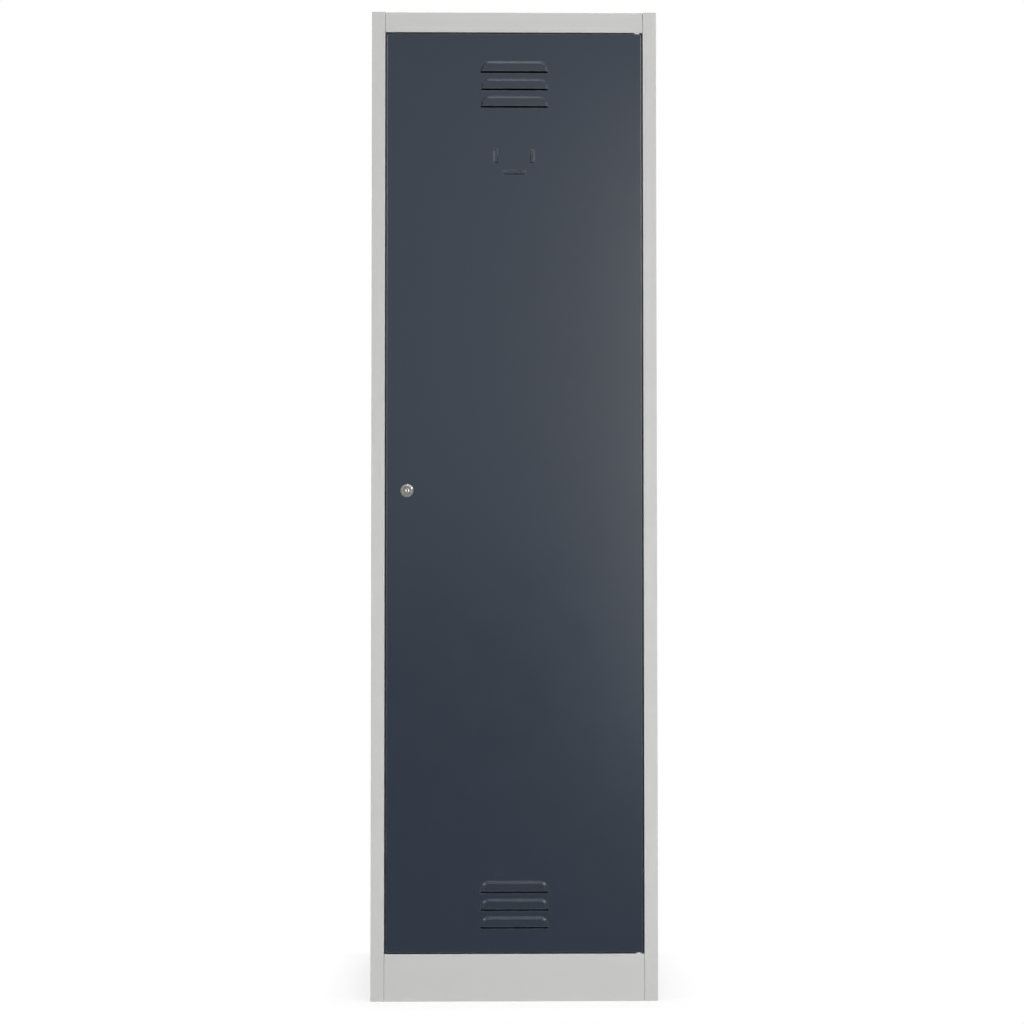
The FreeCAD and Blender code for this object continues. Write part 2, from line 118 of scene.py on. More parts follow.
# Lock housing: a coned ring on a threaded barrel with two flats
RING_RADIUS = 12 * MM
RING_RIM = 0.5 * MM
RING_CONE = (11.4 * MM, 1.0 * MM)
RING_CREST = (8.2 * MM, 3.2 * MM)
RING_ROUND = 0.7 * MM
BORE_RADIUS = 6.1 * MM
BORE_LIP = 2.0 * MM
BARREL_RADIUS = 9.2 * MM
BARREL_FLATS = 8.2 * MM
THREAD_PITCH = 1.2 * MM
THREAD_DEPTH = 0.6 * MM
LATHE_STEPS = 96

# Face plate of the lock's plug: a raised lip on either side of the keyway, rubbed bright by keys.
# Its section is (share of the way out from the keyway, share of the lip's height).
PLATE_RADIUS = 5.8 * MM
PLATE_LIP = 0.25 * MM
PLATE_SECTION = [
    (1.0, 0.0),
    (0.96, 0.2),
    (0.8, 0.24),
    (0.66, 0.27),
    (0.59, 0.36),
    (0.55, 0.48),
    (0.42, 0.86),
    (0.38, 0.98),
    (0.33, 1.0),
    (0.28, 0.98),
    (0.24, 0.86),
    (0.07, 0.34),
    (0.03, 0.22),
    (0.0, 0.0),
    (0.0, -3.5),
]
PLATE_BRIGHT_ROW = 4
KEYWAY_WIDTH = 1.8 * MM
KEYWAY_HEIGHT = 8.4 * MM

# Rubber buffers on the door stop
BUFFER_RADIUS = 4.5 * MM
BUFFER_ROUND = 1.1 * MM

# Weld marks: shallow rings left by spot welding, in even rows on the flanges.
# Their section is (share of the radius, share of the height).
RAIL_SHEET = 1.0 * MM
RAIL_FLANGE = 8 * MM
STIFFENER_FLANGE = 15 * MM
REAR_FLANGE = 20 * MM
WELD_RADIUS = 3.2 * MM
WELD_HEIGHT = 0.25 * MM
WELD_STEPS = 16
WELD_SECTION = [(1.0, 0.0), (0.86, 0.7), (0.74, 1.0), (0.6, 0.55), (0.3, 0.25)]
REAR_WELD_INSET = 60 * MM
REAR_WELDS = 13
BACK_WELD_DROP = 10 * MM
BACK_WELD_REACH = 200 * MM
BACK_WELDS = 7
RAIL_WELD_INSET = 50 * MM
RAIL_WELDS = 10
STIFFENER_WELD_INSET = 40 * MM
STIFFENER_WELDS = 9

# Small rounds on the edges of fittings, lock and buffers
FITTING_SLOTS = ("zinc_steel", "lock_nickel", "nylon")
FITTING_EDGE = 0.2 * MM
LOCK_EDGE = 0.12 * MM
BUFFER_EDGE = 0.15 * MM

# Paint: worn edges and painted highlight, painted shade in crevices, and dust, and its patches in
# features per metre
FOLD_HIGHLIGHT = "fold_highlight"
NOOK_REACH = 10 * MM
# Near-black colour of the painted shade in crevices
CREVICE_SHADE_COLOUR = (0.03, 0.03, 0.03, 1.0)
DUST_COLOUR = (0.46, 0.44, 0.41, 1.0)
TONE_SCALE = 2.6
SPECK_SCALE = 900.0
RUB_SCALE = 55.0
DUST_SCALE = 11.0
GLOSS_SCALE = 16.0

# Metal and mouldings: wiping lines, smudges and bloom, in features per metre
WIPE_SCALE = (300.0, 300.0, 4000.0)
SMUDGE_SCALE = 140.0
BLOOM_SCALE = 120.0

# Stage: the floor fades to the white background a short way out from the cabinet
FLOOR_SIZE = 30.0
FLOOR_COLOUR = (0.9, 0.9, 0.9, 1.0)
FADE_END = 0.09
FADE_LEAST = 0.68
AMBIENT = 0.13
WHITE = (1.0, 1.0, 1.0, 1.0)

# Camera at the photograph's viewing angle, in metres, degrees and millimetres of lens
CAMERA_DISTANCE = 4.2
CAMERA_SIDE = -0.069
CAMERA_HEIGHT = 0.746
CAMERA_PITCH = 1.885
CAMERA_ROLL = 0.015
CAMERA_YAW = -0.885
CAMERA_LENS = 81.26
CAMERA_SENSOR = 36.0


# Mesh helpers

def arc(centre, radius, start, end, steps):
    """Points on an arc about a centre, as (a, b) pairs. Angles in degrees."""
    angles = [math.radians(start + (end - start) * i / steps) for i in range(steps + 1)]
    return [(centre[0] + radius * math.cos(t), centre[1] + radius * math.sin(t)) for t in angles]


def add_row(bm, points):
    """New vertices at a row of points."""
    return [bm.verts.new(p) for p in points]


def join_rows(bm, rows, closed=False):
    """Quads between each row of vertices and the next."""
    for lower, upper in zip(rows, rows[1:]):
        count = len(lower)
        for i in range(count if closed else count - 1):
            j = (i + 1) % count
            bm.faces.new((lower[i], lower[j], upper[j], upper[i]))


def loop_edges(bm, verts):
    """Edges of a closed loop of vertices, made where there are none yet."""
    pairs = zip(verts, verts[1:] + verts[:1])
    return [bm.edges.get(pair) or bm.edges.new(pair) for pair in pairs]


def fill_flat(bm, loops):
    """Flat faces inside the first loop of vertices and outside the others."""
    edges = [edge for loop in loops for edge in loop_edges(bm, loop)]
    bmesh.ops.triangle_fill(bm, use_beauty=True, use_dissolve=False, edges=edges)


def lathe(bm, profile, axis_point, steps):
    """Surface turned about an axis along Y, from (radius, depth) points. Depth is behind the point."""
    rows = []
    for radius, depth in profile:
        circle = arc((axis_point.x, axis_point.z), radius, 0, 360 - 360 / steps, steps - 1)
        rows.append(add_row(bm, [(x, axis_point.y + depth, z) for x, z in circle]))
    join_rows(bm, rows, closed=True)
    return rows


def make_piece(name, bm, body, material):
    """Object from a finished mesh, smooth shaded, riding on a body of the model."""
    mesh = bpy.data.meshes.new(name)
    for face in bm.faces:
        face.smooth = True
    bm.to_mesh(mesh)
    bm.free()
    mesh.materials.append(material)
    piece = bpy.data.objects.new(name, mesh)
    bpy.context.scene.collection.objects.link(piece)
    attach(piece, body)
    return piece


def round_edges(piece, width, angle=40):
    """Small rounds on the sharp edges of a piece, with even shading on its flat faces."""
    bevel = piece.modifiers.new("Rounded edges", "BEVEL")
    bevel.limit_method = "ANGLE"
    bevel.angle_limit = math.radians(angle)
    bevel.width = width
    bevel.segments = 2
    bevel.miter_outer = "MITER_ARC"
    shading = piece.modifiers.new("Even shading", "WEIGHTED_NORMAL")
    shading.keep_sharp = True


# Shader helpers

def shader_node(tree, kind, inputs=None, **settings):
    """Shader node with its settings. Inputs take a value, or a link from another node's socket."""
    made = tree.nodes.new("ShaderNode" + kind)
    for name, value in settings.items():
        setattr(made, name, value)
    for key, value in (inputs or {}).items():
        if isinstance(value, bpy.types.NodeSocket):
            tree.links.new(value, made.inputs[key])
        else:
            made.inputs[key].default_value = value
    return made


def math_node(tree, operation, *values):
    """Result of a Math node on up to three values or sockets."""
    return shader_node(tree, "Math", dict(enumerate(values)), operation=operation).outputs[0]


def remap(tree, value, low, high, to_low, to_high):
    """A value stretched from one range to another, and held inside it."""
    inputs = {"Value": value, "From Min": low, "From Max": high, "To Min": to_low, "To Max": to_high}
    return shader_node(tree, "MapRange", inputs).outputs["Result"]


def mix_colours(tree, factor, first, second, blend="MIX"):
    """Colour between two others."""
    inputs = {0: factor, 6: first, 7: second}
    made = shader_node(tree, "Mix", inputs, data_type="RGBA", blend_type=blend)
    return made.outputs[2]


def noise(tree, place, scale, detail=2.0, rough=0.5):
    """Value of a noise texture, from 0 to 1."""
    inputs = {"Vector": place, "Scale": scale, "Detail": detail, "Roughness": rough}
    return shader_node(tree, "TexNoise", inputs).outputs["Fac"]


def object_place(tree):
    """Position on the piece, which stays with it as it moves."""
    return shader_node(tree, "TexCoord").outputs["Object"]


def shader_group(name, inputs, outputs):
    """Empty node group with named sockets. Returns the tree, its input sockets and its output node."""
    tree = bpy.data.node_groups.new(name, "ShaderNodeTree")
    for socket_name, kind in inputs.items():
        tree.interface.new_socket(socket_name, in_out="INPUT", socket_type="NodeSocket" + kind)
    for socket_name, kind in outputs.items():
        tree.interface.new_socket(socket_name, in_out="OUTPUT", socket_type="NodeSocket" + kind)
    source = tree.nodes.new("NodeGroupInput")
    sink = tree.nodes.new("NodeGroupOutput")
    return tree, source.outputs, sink


def close_group(tree, sink, **results):
    """Link the results of a group to its outputs."""
    for name, socket in results.items():
        tree.links.new(socket, sink.inputs[name])
    return tree


SURFACE = {"Color": "Color", "Roughness": "Float", "Height": "Float"}


def powder_coat_group():
    """Baked paint: slow tone, orange peel, uneven gloss, worn edges with a painted highlight, a painted
    highlight on folds, painted shade in crevices, and dust.
    """
    inputs = {
        "Paint": "Color",
        "Rubbed And Highlight Paint": "Color",
        "Tone": "Float",
        "Peel Size": "Float",
        "Gloss": "Float",
        "Edge Rub And Highlight": "Float",
        "Fold Highlight": "Float",
        "Edge Width": "Float",
        "Crevice Shade": "Float",
        "Dust": "Float",
    }
    tree, given, sink = shader_group("Powder coat", inputs, SURFACE)
    place = object_place(tree)
    slow = noise(tree, place, TONE_SCALE, detail=3.0)
    specks = noise(tree, place, SPECK_SCALE, detail=1.0)
    cloudy = math_node(tree, "MULTIPLY_ADD", specks, 0.25, slow)
    offset = math_node(tree, "SUBTRACT", cloudy, 0.625)
    tone = math_node(tree, "MULTIPLY_ADD", offset, given["Tone"], 1.0)
    paint = mix_colours(tree, 1.0, given["Paint"], tone, blend="MULTIPLY")

    # Lighter paint along edges: patchy worn paint that also stands in for a painted highlight
    normal = shader_node(tree, "NewGeometry").outputs["Normal"]
    rounded = shader_node(tree, "Bevel", {"Radius": given["Edge Width"]}, samples=4).outputs["Normal"]
    facing = shader_node(tree, "VectorMath", {0: normal, 1: rounded}, operation="DOT_PRODUCT")
    edge = remap(tree, facing.outputs["Value"], 0.998, 0.95, 0.0, 1.0)
    patchy = remap(tree, noise(tree, place, RUB_SCALE, detail=5.0, rough=0.65), 0.42, 0.62, 0.25, 1.0)
    # Painted highlight along the door's side folds, read from the sheet's layer
    fold = shader_node(tree, "Attribute", attribute_name=FOLD_HIGHLIGHT).outputs["Fac"]
    edge_rub_and_highlight = math_node(tree, "MULTIPLY", math_node(tree, "MULTIPLY", edge, patchy), given["Edge Rub And Highlight"])
    rub_and_highlight = math_node(tree, "MAXIMUM", edge_rub_and_highlight, math_node(tree, "MULTIPLY", fold, given["Fold Highlight"]))
    paint = mix_colours(tree, rub_and_highlight, paint, given["Rubbed And Highlight Paint"])

    # Painted shade: paint darkened towards near-black in crevices and inner corners
    nook = shader_node(tree, "AmbientOcclusion", {"Distance": NOOK_REACH}, samples=6, only_local=True)
    crevice = remap(tree, nook.outputs["AO"], 0.8, 0.5, 0.0, 1.0)
    crevice_shade = math_node(tree, "MULTIPLY", crevice, given["Crevice Shade"])
    paint = mix_colours(tree, crevice_shade, paint, CREVICE_SHADE_COLOUR)

    up = shader_node(tree, "SeparateXYZ", {"Vector": normal}).outputs["Z"]
    lying = remap(tree, up, 0.75, 0.98, 0.0, 1.0)
    settled = remap(tree, noise(tree, place, DUST_SCALE, detail=7.0, rough=0.62), 0.3, 0.75, 0.2, 1.0)
    dust = math_node(tree, "MULTIPLY", math_node(tree, "MULTIPLY", lying, settled), given["Dust"])
    paint = mix_colours(tree, dust, paint, DUST_COLOUR)

    uneven = math_node(tree, "SUBTRACT", noise(tree, place, GLOSS_SCALE, detail=4.0), 0.5)
    gloss = math_node(tree, "MULTIPLY_ADD", uneven, 0.14, given["Gloss"])
    gloss = math_node(tree, "MULTIPLY_ADD", dust, 2.4, gloss)
    peel_scale = math_node(tree, "DIVIDE", 1.0, given["Peel Size"])
    peel = noise(tree, place, peel_scale, detail=1.5)
    return close_group(tree, sink, Color=paint, Roughness=gloss, Height=peel)


def plated_metal_group():
    """Plated steel: cloudy tone, fine wiping lines and fingerprints in the gloss."""
    inputs = {"Bright": "Color", "Dull": "Color", "Cloud Size": "Float", "Gloss": "Float"}
    tree, given, sink = shader_group("Plated metal", inputs, SURFACE)
    place = object_place(tree)
    cloud_scale = math_node(tree, "DIVIDE", 1.0, given["Cloud Size"])
    clouds = remap(tree, noise(tree, place, cloud_scale, detail=5.0, rough=0.6), 0.3, 0.7, 0.0, 1.0)
    colour = mix_colours(tree, clouds, given["Bright"], given["Dull"])
    stretched = shader_node(tree, "Mapping", {"Vector": place, "Scale": WIPE_SCALE})
    lines = noise(tree, stretched.outputs["Vector"], 1.0, detail=3.0)
    smudges = remap(tree, noise(tree, place, SMUDGE_SCALE, detail=4.0), 0.45, 0.7, 0.0, 0.12)
    gloss = math_node(tree, "MULTIPLY_ADD", clouds, 0.1, given["Gloss"])
    gloss = math_node(tree, "ADD", gloss, smudges)
    return close_group(tree, sink, Color=colour, Roughness=gloss, Height=lines)


def moulded_group():
    """Moulded plastic or rubber: a fine grain with slow changes of tone."""
    inputs = {"Body": "Color", "Bloom": "Color", "Grain Size": "Float", "Gloss": "Float"}
    tree, given, sink = shader_group("Moulded surface", inputs, SURFACE)
    place = object_place(tree)
    bloom = remap(tree, noise(tree, place, BLOOM_SCALE, detail=5.0), 0.45, 0.8, 0.0, 0.5)
    colour = mix_colours(tree, bloom, given["Body"], given["Bloom"])
    grain_scale = math_node(tree, "DIVIDE", 1.0, given["Grain Size"])
    grain = noise(tree, place, grain_scale, detail=2.0)
    gloss = math_node(tree, "MULTIPLY_ADD", bloom, 0.2, given["Gloss"])
    return close_group(tree, sink, Color=colour, Roughness=gloss, Height=grain)


def finish(name, group, values, bump_sizes, shader_values=None):
    """Material whose colour, roughness and bump come from a group, with constants on the shader.

    Bump sizes are its strength and its depth.
    """
    material = bpy.data.materials.new(name)
    material.use_nodes = True
    tree = material.node_tree
    tree.nodes.clear()
    surface = tree.nodes.new("ShaderNodeGroup")
    surface.node_tree = group
    for socket_name, value in values.items():
        surface.inputs[socket_name].default_value = value
    strength, depth = bump_sizes
    bump_inputs = {"Strength": strength, "Distance": depth, "Height": surface.outputs["Height"]}
    bump = shader_node(tree, "Bump", bump_inputs)
    shader_inputs = {
        "Base Color": surface.outputs["Color"],
        "Roughness": surface.outputs["Roughness"],
        "Normal": bump.outputs["Normal"],
    }
    shader_inputs.update(shader_values or {})
    shader = shader_node(tree, "BsdfPrincipled", shader_inputs)
    shader_node(tree, "OutputMaterial", {"Surface": shader.outputs["BSDF"]})
    return material


powder_coat = powder_coat_group()
plated_metal = plated_metal_group()
moulded = moulded_group()

# Edges get lighter paint that is partly patchy worn paint and partly a painted highlight; the door's
# side folds get a painted highlight; crevices get painted shade
carcass_paint = {
    "Paint": (0.505, 0.505, 0.5, 1.0),
    "Rubbed And Highlight Paint": (0.64, 0.64, 0.63, 1.0),
    "Tone": 0.05,
    "Peel Size": 2.4 * MM,
    "Gloss": 0.36,
    "Edge Rub And Highlight": 0.8,
    "Fold Highlight": 0.0,
    "Edge Width": 1.2 * MM,
    "Crevice Shade": 0.85,
    "Dust": 0.12,
}
door_paint = {
    "Paint": (0.012, 0.021, 0.036, 1.0),
    "Rubbed And Highlight Paint": (0.2, 0.22, 0.24, 1.0),
    "Tone": 0.08,
    "Peel Size": 2.4 * MM,
    "Gloss": 0.24,
    "Edge Rub And Highlight": 0.4,
    "Fold Highlight": 1.0,
    "Edge Width": 2.2 * MM,
    "Crevice Shade": 0.3,
    "Dust": 0.08,
}
zinc_plate = {
    "Bright": (0.62, 0.63, 0.64, 1.0),
    "Dull": (0.48, 0.49, 0.49, 1.0),
    "Cloud Size": 9 * MM,
    "Gloss": 0.3,
}
nickel_plate = {
    "Bright": (0.115, 0.113, 0.105, 1.0),
    "Dull": (0.08, 0.078, 0.072, 1.0),
    "Cloud Size": 6 * MM,
    "Gloss": 0.04,
}
polished_nickel = {
    "Bright": (0.22, 0.22, 0.22, 1.0),
    "Dull": (0.18, 0.18, 0.18, 1.0),
    "Cloud Size": 6 * MM,
    "Gloss": 0.01,
}
natural_nylon = {
    "Body": (0.72, 0.71, 0.66, 1.0),
    "Bloom": (0.8, 0.79, 0.75, 1.0),
    "Grain Size": 0.6 * MM,
    "Gloss": 0.4,
}
black_rubber = {
    "Body": (0.018, 0.018, 0.019, 1.0),
    "Bloom": (0.06, 0.06, 0.062, 1.0),
    "Grain Size": 0.5 * MM,
    "Gloss": 0.62,
}
PAINT_SHINE = {"Specular IOR Level": 0.22}
METAL = {"Metallic": 1.0}
PAINT_BUMP = (0.12, 0.05 * MM)
ZINC_BUMP = (0.1, 0.02 * MM)
NICKEL_BUMP = (0.05, 0.01 * MM)
NYLON_BUMP = (0.1, 0.02 * MM)
RUBBER_BUMP = (0.3, 0.05 * MM)
BRIGHT_NICKEL = finish("Polished nickel", plated_metal, polished_nickel, NICKEL_BUMP, METAL)
FINISHES = {
    "carcass_grey": finish("Carcass grey", powder_coat, carcass_paint, PAINT_BUMP, PAINT_SHINE),
    "door_anthracite": finish("Door anthracite", powder_coat, door_paint, PAINT_BUMP, PAINT_SHINE),
    "zinc_steel": finish("Zinc plate", plated_metal, zinc_plate, ZINC_BUMP, METAL),
    "lock_nickel": finish("Nickel plate", plated_metal, nickel_plate, NICKEL_BUMP, METAL),
    "nylon": finish("Natural nylon", moulded, natural_nylon, NYLON_BUMP),
    "rubber": finish("Black rubber", moulded, black_rubber, RUBBER_BUMP),
}


# Finish on the model's own pieces

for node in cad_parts.values():
    slot = node.data.materials[0].name
    node.data.materials[0] = FINISHES[slot]
    if slot in FITTING_SLOTS:
        joined = node.modifiers.new("Joined faces", "WELD")
        joined.merge_threshold = JOIN_DISTANCE
        round_edges(node, FITTING_EDGE)


# Door sheet

def press_profile(form):
    """(inset, rise) steps up the wall of a pressing: a hollow foot, a slope and a rounded crown."""
    slope = math.degrees(form["slope"])
    foot = arc((0, form["foot_round"]), form["foot_round"], -90, slope - 90, PROFILE_STEPS)
    shared_rise = (form["foot_round"] + form["crown_round"]) * (1 - math.cos(form["slope"]))
    run = (form["projection"] - shared_rise) / math.tan(form["slope"])
    width = (form["foot_round"] + form["crown_round"]) * math.sin(form["slope"]) + run
    centre = (width, form["projection"] - form["crown_round"])
    return foot + arc(centre, form["crown_round"], 90 + slope, 90, PROFILE_STEPS)


def press_outline(form, inset):
    """Open outline of a pressing at an inset, from one end of its slit round to the other."""
    lean = (form["slit"] - form["crown"]) / 2
    side = math.hypot(lean, form["height"])
    height = form["height"] - inset
    foot = form["slit"] / 2 - inset * side / form["height"]
    head = foot - lean * height / form["height"]
    turn = math.degrees(math.atan2(form["height"], lean))
    radius = max(form["corner"] - inset, form["corner"] / 4)
    reach = radius * math.tan(math.radians(turn) / 2)
    shoulder = arc((head - reach, height - radius), radius, 90 - turn, 90, CORNER_STEPS)
    right = [(foot, 0)] + shoulder
    return right + [(-a, b) for a, b in reversed(right)]


def press_out(bm, form, angle, x, z):
    """Pressing on the door with its lip at (x, z), turned about the door's normal.

    Returns the loop of vertices that it and its slot leave open in the flat sheet.
    """
    turn_cos = math.cos(math.radians(angle))
    turn_sin = math.sin(math.radians(angle))

    def row(points, rise):
        places = [(x + a * turn_cos + b * turn_sin, z - a * turn_sin + b * turn_cos) for a, b in points]
        return add_row(bm, [(px, FRONT - rise, pz) for px, pz in places])

    rows = [row(press_outline(form, inset), rise) for inset, rise in press_profile(form)]
    join_rows(bm, rows)
    bm.faces.new(rows[-1])
    reach = form["slit"] / 2 - SLOT_INSET
    drop = -form["slot"]
    return rows[0] + row([(-reach, 0), (-reach, drop), (reach, drop), (reach, 0)], 0)


def round_hole(bm, centre, radius, axis):
    """Loop of vertices round a hole across the Y or the Z axis."""
    circle = arc((0, 0), radius, 0, 360 - 360 / HOLE_STEPS, HOLE_STEPS - 1)
    if axis == "y":
        return add_row(bm, [centre + Vector((a, 0, b)) for a, b in circle])
    return add_row(bm, [centre + Vector((a, b, 0)) for a, b in circle])


def fold_edge(bm, first, last, outward, bush_hole=None):
    """Flange and lip along one edge of the tray, from the two ends of its bend line.

    Returns the two vertices on the bend line. A bush hole is a centre on the flange.
    """
    depth = DOOR_HIGH.y - FRONT
    along = (last - first).normalized()
    inward = Vector((0, 1, 0))
    front_bend = arc((0, DOOR_FOLD), DOOR_FOLD, -90, 0, FOLD_STEPS)
    back_bend = arc((0, depth - DOOR_FOLD), DOOR_FOLD, 0, 90, FOLD_STEPS)
    mitre = DOOR_LIP - CORNER_RELIEF + LIP_MITRE_GAP
    steps = [(out, deep, 0) for out, deep in front_bend + back_bend]
    steps.append((DOOR_FOLD - DOOR_LIP, depth, mitre))
    rows = []
    for out, deep, trim in steps:
        shift = outward * out + inward * deep
        rows.append(add_row(bm, [first + along * trim + shift, last - along * trim + shift]))
    # Painted highlight along the side folds: lighter towards the top of the door, none on the top and
    # bottom folds
    highlight_layer = bm.verts.layers.float[FOLD_HIGHLIGHT]
    for row in rows[1:FOLD_STEPS // 2 + 1]:
        for vert in row:
            vert[highlight_layer] = abs(outward.x) * (vert.co.z - DOOR_LOW.z) / (DOOR_HIGH.z - DOOR_LOW.z)
    flange = len(front_bend)
    join_rows(bm, rows[:flange])
    join_rows(bm, rows[flange:])
    border = rows[flange - 1] + rows[flange][::-1]
    loops = [border]
    if bush_hole is not None:
        loops.append(round_hole(bm, bush_hole, BUSH_HOLE, "z"))
    fill_flat(bm, loops)
    return rows[0]


def door_sheet_mesh():
    """Outer skin of the door: the flat face with its pressings and holes, and four folded edges."""
    bm = bmesh.new()
    # Layer for the painted highlight along the door's side folds
    bm.verts.layers.float.new(FOLD_HIGHLIGHT)
    left, right = DOOR_LOW.x + DOOR_FOLD, DOOR_HIGH.x - DOOR_FOLD
    bottom, top = DOOR_LOW.z + DOOR_FOLD, DOOR_HIGH.z - DOOR_FOLD
    trim = CORNER_RELIEF - DOOR_FOLD
    lower_bush = Vector((PIVOT.x, PIVOT.y, DOOR_LOW.z))
    upper_bush = Vector((PIVOT.x, PIVOT.y, DOOR_HIGH.z))

    def corner(x, z):
        return Vector((x, FRONT, z))

    border = fold_edge(bm, corner(left, bottom + trim), corner(left, top - trim), Vector((-1, 0, 0)))
    border += fold_edge(
        bm, corner(left + trim, top), corner(right - trim, top), Vector((0, 0, 1)), upper_bush
    )
    border += fold_edge(bm, corner(right, top - trim), corner(right, bottom + trim), Vector((1, 0, 0)))
    border += fold_edge(
        bm, corner(right - trim, bottom), corner(left + trim, bottom), Vector((0, 0, -1)), lower_bush
    )
    openings = [round_hole(bm, Vector((LOCK.x, FRONT, LOCK.z)), LOCK_HOLE, "y")]
    for i in range(LOUVRE_COUNT):
        upper_z = DOOR_HIGH.z - UPPER_LOUVRE_DROP - i * LOUVRE_PITCH
        lower_z = DOOR_LOW.z + LOWER_LOUVRE_RISE + i * LOUVRE_PITCH
        openings.append(press_out(bm, LOUVRE, 0, DOOR_MIDDLE, upper_z))
        openings.append(press_out(bm, LOUVRE, 0, DOOR_MIDDLE, lower_z))
    card_z = DOOR_HIGH.z - CARD_DROP
    for side in (-1, 1):
        x = DOOR_MIDDLE + side * CARD_WIDTH / 2
        openings.append(press_out(bm, SIDE_TAB, side * 90, x, card_z + TAB_RISE))
    openings.append(press_out(bm, LOWER_TAB, 180, DOOR_MIDDLE, card_z))
    fill_flat(bm, [border] + openings)
    bmesh.ops.recalc_face_normals(bm, faces=bm.faces)
    biggest = max(bm.faces, key=lambda face: face.calc_area())
    if biggest.normal.y > 0:
        bmesh.ops.reverse_faces(bm, faces=bm.faces)
    return bm


door_sheet = make_piece(
    "door_sheet", door_sheet_mesh(), "door", FINISHES["door_anthracite"]
)
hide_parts("door_panel")
thickness = door_sheet.modifiers.new("Sheet", "SOLIDIFY")
thickness.thickness = DOOR_SHEET
thickness.offset = -1
thickness.use_even_offset = True
round_edges(door_sheet, SHEET_EDGE, angle=50)


# Lock housing

def lock_housing_mesh():
    """Coned ring on the door's face, and a barrel with turned thread grooves and two flats."""
    bm = bmesh.new()
    axis_point = Vector((LOCK.x, FRONT, LOCK.z))
    length = LOCK_BACK - FRONT
    crest_radius, crest_height = RING_CREST
    cone = math.degrees(math.atan2(crest_height - RING_CONE[1], RING_CONE[0] - crest_radius))
    profile = [(BORE_RADIUS, length), (BORE_RADIUS, -BORE_LIP)]
    profile.append((crest_radius - RING_ROUND, -BORE_LIP))
    profile += arc((crest_radius, RING_ROUND - crest_height), RING_ROUND, 180, 270 + cone, FOLD_STEPS)
    profile.append((RING_CONE[0], -RING_CONE[1]))
    profile.append((RING_RADIUS, -RING_RIM))
    profile.append((RING_RADIUS, 0))
    profile.append((BARREL_RADIUS, 0))
    turns = int((length - 2 * THREAD_PITCH) / THREAD_PITCH)
    for i in range(turns):
        start = (1 + i) * THREAD_PITCH
        profile.append((BARREL_RADIUS, start))
        profile.append((BARREL_RADIUS - THREAD_DEPTH, start + THREAD_PITCH / 2))
    profile.append((BARREL_RADIUS, (turns + 1) * THREAD_PITCH))
    profile.append((BARREL_RADIUS - THREAD_DEPTH, length))
    profile.append((BORE_RADIUS, length))
    rows = lathe(bm, profile, axis_point, LATHE_STEPS)
    for vert in bm.verts:
        if vert.co.y > FRONT:
            away = vert.co.z - LOCK.z
            vert.co.z = LOCK.z + max(-BARREL_FLATS, min(BARREL_FLATS, away))
    bmesh.ops.remove_doubles(bm, verts=rows[0] + rows[-1], dist=JOIN_DISTANCE)
    bmesh.ops.recalc_face_normals(bm, faces=bm.faces)
    return bm


lock_ring = make_piece("lock_ring", lock_housing_mesh(), "door", BRIGHT_NICKEL)
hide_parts("lock_housing")
lock_ring.data.materials.append(FINISHES["lock_nickel"])
for face in lock_ring.data.polygons:
    away = math.hypot(face.center.x - LOCK.x, face.center.z - LOCK.z)
    if away < RING_CREST[0] - RING_ROUND / 2 or face.center.y > FRONT:
        face.material_index = 1
round_edges(lock_ring, LOCK_EDGE, angle=35)


# Face plate of the lock's plug

def face_plate_mesh():
    """Plate with a lip on each side of the keyway, lofted from its round rim to the keyway's edge."""
    bm = bmesh.new()
    face_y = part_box("lock_plug")[0].y
    rows = []
    for share, level in PLATE_SECTION:
        points = []
        for x, z in arc((0, 0), 1, 0, 360 - 360 / LATHE_STEPS, LATHE_STEPS - 1):
            keyway = min(KEYWAY_WIDTH / 2 / max(abs(x), TINY), KEYWAY_HEIGHT / 2 / max(abs(z), TINY))
            radius = keyway + (PLATE_RADIUS - keyway) * share
            lip = PLATE_LIP * math.exp(-(2 * radius * z / KEYWAY_HEIGHT) ** 2)
            points.append((LOCK.x + radius * x, face_y - lip * level, LOCK.z + radius * z))
        rows.append(add_row(bm, points))
    join_rows(bm, rows, closed=True)
    bmesh.ops.recalc_face_normals(bm, faces=bm.faces)
    return bm


face_plate = make_piece(
    "lock_face_plate", face_plate_mesh(), "lock", FINISHES["lock_nickel"]
)
face_plate.data.materials.append(BRIGHT_NICKEL)
for face in face_plate.data.polygons:
    if face.index >= PLATE_BRIGHT_ROW * LATHE_STEPS:
        face.material_index = 1


# Stop buffers

def buffer_mesh():
    """Two soft discs with rounded faces on the door stop."""
    bm = bmesh.new()
    low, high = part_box("door_buffers")
    depth = high.y - low.y
    for z in (low.z + BUFFER_RADIUS, high.z - BUFFER_RADIUS):
        axis_point = Vector(((low.x + high.x) / 2, low.y, z))
        rim = arc((BUFFER_RADIUS - BUFFER_ROUND, BUFFER_ROUND), BUFFER_ROUND, -90, 0, FOLD_STEPS)
        rows = lathe(bm, rim + [(BUFFER_RADIUS, depth)], axis_point, HOLE_STEPS)
        bm.faces.new(rows[0])
        bm.faces.new(rows[-1])
    bmesh.ops.recalc_face_normals(bm, faces=bm.faces)
    return bm


buffers = make_piece("stop_buffers", buffer_mesh(), "carcass", FINISHES["rubber"])
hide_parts("door_buffers")
round_edges(buffers, BUFFER_EDGE)


# Weld marks

